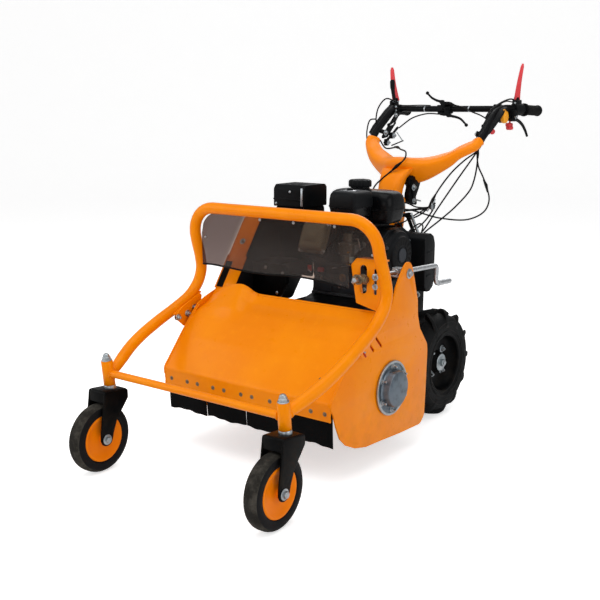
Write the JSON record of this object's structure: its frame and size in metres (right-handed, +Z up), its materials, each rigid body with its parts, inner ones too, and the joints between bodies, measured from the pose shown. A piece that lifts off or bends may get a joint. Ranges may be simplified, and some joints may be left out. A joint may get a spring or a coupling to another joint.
{
  "type": "walk-behind flail mower",
  "caption": "Walk-behind flail mower: welded deck with belt-driven flail rotor, petrol engine, bumper frame on swivel casters, lugged drive wheels and height-adjustable handlebar.",
  "frame": {"origin": "on the ground, at the middle of the machine's overall length and width; the drive axle stands 287 mm behind it", "axes": "+Z up, -Y forwards towards the casters, +Y towards the operator, +X towards the side with the height crank"},
  "size_m": [0.7694, 1.7746, 1.22],
  "materials": {
    "deck_paint": "satin gloss powder coat",
    "frame_paint": "satin gloss powder coat",
    "cover_plastic": "gloss moulded",
    "black_steel": "satin black paint",
    "black_plastic": "textured moulded",
    "tank_plastic": "semi gloss moulded",
    "zinc": "zinc plated",
    "cast_alloy": "as cast",
    "cast_iron": "machined cast iron",
    "blade_steel": "forged and ground",
    "belt_rubber": "fabric backed rubber",
    "flap_rubber": "matt sheet rubber",
    "caster_tread": "worn solid rubber",
    "caster_disc": "gloss moulded",
    "tyre_rubber": "lugged tread",
    "rim_steel": "satin black paint",
    "grip_rubber": "ribbed",
    "lever_red": "moulded",
    "lever_yellow": "moulded",
    "smoked_sheet": "smoked clear sheet"
  },
  "bodies": {
    "chassis": {"side_plate_left": "deck_paint", "side_plate_right": "deck_paint", "deck_cover": "deck_paint", "rotor_bearing_left": "zinc", "rotor_bearing_right": "zinc", "drive_belt": "belt_rubber", "belt_guard": "deck_paint", "rear_frame": "black_steel", "gearbox": "cast_alloy", "engine_block": "cast_alloy", "valve_cover": "cast_alloy", "muffler_box": "black_steel", "air_cleaner": "black_plastic", "fuel_tank": "tank_plastic", "recoil_starter": "black_plastic", "carburettor": "cast_alloy", "rear_guard": "black_plastic", "handle_column": "frame_paint"},
    "rotor": {"flail_rotor": "black_steel", "rotor_pulley": "cast_iron"},
    "engine_shaft": {"engine_pulley": "cast_iron"},
    "front_frame": {"front_frame": "frame_paint", "shield": "smoked_sheet"},
    "trunnion": {"adjuster_trunnion": "zinc"},
    "crank": {"crank_rod": "zinc"},
    "nut_block": {"adjuster_nut": "zinc"},
    "fuel_cap": {"fuel_cap": "black_plastic"},
    "recoil_handle": {"recoil_handle": "black_plastic"},
    "handlebar": {"yoke_cover": "cover_plastic", "handlebar_tube": "black_steel", "grip_left": "grip_rubber", "grip_right": "grip_rubber"},
    "red_lever_left": {"red_lever_left": "lever_red"},
    "red_lever_right": {"red_lever_right": "lever_red"},
    "shift_lever": {"shift_lever": "black_plastic"},
    "hand_lever_1": {"hand_lever_1": "black_steel"},
    "hand_lever_2": {"hand_lever_2": "black_steel"},
    "brake_lever": {"brake_lever": "black_steel"},
    "throttle_lever": {"throttle_lever": "lever_yellow"},
    "stop_switch": {"stop_switch": "lever_red"},
    "flail_1": {"flail_1": "blade_steel"},
    "flap_1": {"rubber_flap_1": "flap_rubber"},
    "flail_2": {"flail_2": "blade_steel"},
    "flap_2": {"rubber_flap_2": "flap_rubber"},
    "flail_3": {"flail_3": "blade_steel"},
    "flap_3": {"rubber_flap_3": "flap_rubber"},
    "flail_4": {"flail_4": "blade_steel"},
    "flap_4": {"rubber_flap_4": "flap_rubber"},
    "caster_left": {"caster_fork_left": "black_steel", "caster_axle_left": "zinc"},
    "caster_wheel_left": {"caster_rim_left": "caster_disc", "caster_tyre_left": "caster_tread"},
    "drive_wheel_left": {"drive_tyre_left": "tyre_rubber", "drive_rim_left": "rim_steel"},
    "caster_right": {"caster_fork_right": "black_steel", "caster_axle_right": "zinc"},
    "caster_wheel_right": {"caster_rim_right": "caster_disc", "caster_tyre_right": "caster_tread"},
    "drive_wheel_right": {"drive_tyre_right": "tyre_rubber", "drive_rim_right": "rim_steel"}
  },
  "joints": [
    {"name": "front_frame_height", "type": "hinge", "parent": "chassis", "child": "front_frame", "pos_m": [0, -0.38086, 0.388], "axis": [1, 0, 0], "range_deg": [-6, 2.5]},
    {"name": "trunnion_tilt", "type": "hinge", "parent": "chassis", "child": "trunnion", "pos_m": [0.286, -0.11686, 0.57099], "axis": [1, 0, 0], "range_deg": [-3, 3]},
    {"name": "crank_turn", "type": "hinge", "parent": "trunnion", "child": "crank", "pos_m": [0.286, -0.11686, 0.57099], "axis": [0, 0.9991, -0.0419], "range_deg": [-230, 110]},
    {"name": "nut_block_tilt", "type": "hinge", "parent": "front_frame", "child": "nut_block", "pos_m": [0.286, -0.32686, 0.57981], "axis": [1, 0, 0], "range_deg": [-5, 9]},
    {"name": "caster_swivel_left", "type": "hinge", "parent": "front_frame", "child": "caster_left", "pos_m": [0.331, -0.74126, 0.292], "axis": [0, -0.0993, 0.9951], "continuous": true},
    {"name": "caster_wheel_spin_left", "type": "hinge", "parent": "caster_left", "child": "caster_wheel_left", "pos_m": [0.331, -0.78586, 0.103], "axis": [1, 0, 0], "continuous": true},
    {"name": "drive_wheel_spin_left", "type": "hinge", "parent": "chassis", "child": "drive_wheel_left", "pos_m": [0.19, 0.29114, 0.187], "axis": [1, 0, 0], "continuous": true},
    {"name": "caster_swivel_right", "type": "hinge", "parent": "front_frame", "child": "caster_right", "pos_m": [-0.331, -0.74126, 0.292], "axis": [0, -0.0993, 0.9951], "continuous": true},
    {"name": "caster_wheel_spin_right", "type": "hinge", "parent": "caster_right", "child": "caster_wheel_right", "pos_m": [-0.331, -0.78586, 0.103], "axis": [1, 0, 0], "continuous": true},
    {"name": "drive_wheel_spin_right", "type": "hinge", "parent": "chassis", "child": "drive_wheel_right", "pos_m": [-0.19, 0.29114, 0.187], "axis": [1, 0, 0], "continuous": true},
    {"name": "rotor_spin", "type": "hinge", "parent": "chassis", "child": "rotor", "pos_m": [0, -0.21086, 0.236], "axis": [1, 0, 0], "continuous": true},
    {"name": "engine_shaft_spin", "type": "hinge", "parent": "chassis", "child": "engine_shaft", "pos_m": [0, 0.07214, 0.59], "axis": [1, 0, 0], "continuous": true},
    {"name": "flail_swing_1", "type": "hinge", "parent": "rotor", "child": "flail_1", "pos_m": [-0.17, -0.14135, 0.26137], "axis": [1, 0, 0], "range_deg": [-55, 55]},
    {"name": "flail_swing_2", "type": "hinge", "parent": "rotor", "child": "flail_2", "pos_m": [-0.05, -0.23623, 0.30551], "axis": [1, 0, 0], "range_deg": [-55, 55]},
    {"name": "flail_swing_3", "type": "hinge", "parent": "rotor", "child": "flail_3", "pos_m": [0.07, -0.28037, 0.21063], "axis": [1, 0, 0], "range_deg": [-55, 55]},
    {"name": "flail_swing_4", "type": "hinge", "parent": "rotor", "child": "flail_4", "pos_m": [0.19, -0.18549, 0.16649], "axis": [1, 0, 0], "range_deg": [-55, 55]},
    {"name": "flap_swing_1", "type": "hinge", "parent": "chassis", "child": "flap_1", "pos_m": [-0.238, -0.50536, 0.246], "axis": [1, 0, 0], "range_deg": [0, 42]},
    {"name": "flap_swing_2", "type": "hinge", "parent": "chassis", "child": "flap_2", "pos_m": [-0.08, -0.50536, 0.246], "axis": [1, 0, 0], "range_deg": [0, 42]},
    {"name": "flap_swing_3", "type": "hinge", "parent": "chassis", "child": "flap_3", "pos_m": [0.08, -0.50536, 0.246], "axis": [1, 0, 0], "range_deg": [0, 42]},
    {"name": "flap_swing_4", "type": "hinge", "parent": "chassis", "child": "flap_4", "pos_m": [0.238, -0.50536, 0.246], "axis": [1, 0, 0], "range_deg": [0, 42]},
    {"name": "fuel_cap_turn", "type": "hinge", "parent": "chassis", "child": "fuel_cap", "pos_m": [0.033, 0.04914, 0.81], "axis": [0, 0, 1], "range_deg": [0, 90]},
    {"name": "recoil_pull", "type": "slide", "parent": "chassis", "child": "recoil_handle", "axis": [0, -0.9239, 0.3827], "range_m": [0, 0.22]},
    {"name": "handlebar_height", "type": "hinge", "parent": "chassis", "child": "handlebar", "pos_m": [0, 0.29314, 0.728], "axis": [1, 0, 0], "range_deg": [-10, 12]},
    {"name": "red_lever_squeeze_left", "type": "hinge", "parent": "handlebar", "child": "red_lever_left", "pos_m": [0.258, 0.74514, 1.086], "axis": [1, 0, 0], "range_deg": [-58, 0]},
    {"name": "red_lever_squeeze_right", "type": "hinge", "parent": "handlebar", "child": "red_lever_right", "pos_m": [-0.258, 0.74514, 1.086], "axis": [1, 0, 0], "range_deg": [-58, 0]},
    {"name": "shift_lever_swing", "type": "hinge", "parent": "handlebar", "child": "shift_lever", "pos_m": [-0.242, 0.71114, 1.084], "axis": [1, 0, 0], "range_deg": [-12, 20]},
    {"name": "hand_lever_squeeze_1", "type": "hinge", "parent": "handlebar", "child": "hand_lever_1", "pos_m": [-0.008, 0.66714, 1.082], "axis": [0, 1, 0], "range_deg": [-12, 8]},
    {"name": "hand_lever_squeeze_2", "type": "hinge", "parent": "handlebar", "child": "hand_lever_2", "pos_m": [0.022, 0.66714, 1.034], "axis": [0, 1, 0], "range_deg": [-12, 8]},
    {"name": "brake_lever_squeeze", "type": "hinge", "parent": "handlebar", "child": "brake_lever", "pos_m": [0.262, 0.71114, 1.022], "axis": [1, 0, 0], "range_deg": [0, 14]},
    {"name": "throttle_turn", "type": "hinge", "parent": "handlebar", "child": "throttle_lever", "pos_m": [0.25, 0.65914, 1.03], "axis": [1, 0, 0], "range_deg": [-35, 35]},
    {"name": "stop_switch_press", "type": "slide", "parent": "handlebar", "child": "stop_switch", "axis": [0, 0, 1], "range_m": [0, 0.004]}
  ],
  "couplings": [
    {"joint": "trunnion_tilt", "follows": "front_frame_height", "ratio": -0.274},
    {"joint": "nut_block_tilt", "follows": "front_frame_height", "ratio": -1.274},
    {"joint": "crank_turn", "follows": "front_frame_height", "ratio": 36},
    {"joint": "engine_shaft_spin", "follows": "rotor_spin", "ratio": 1.2}
  ]
}
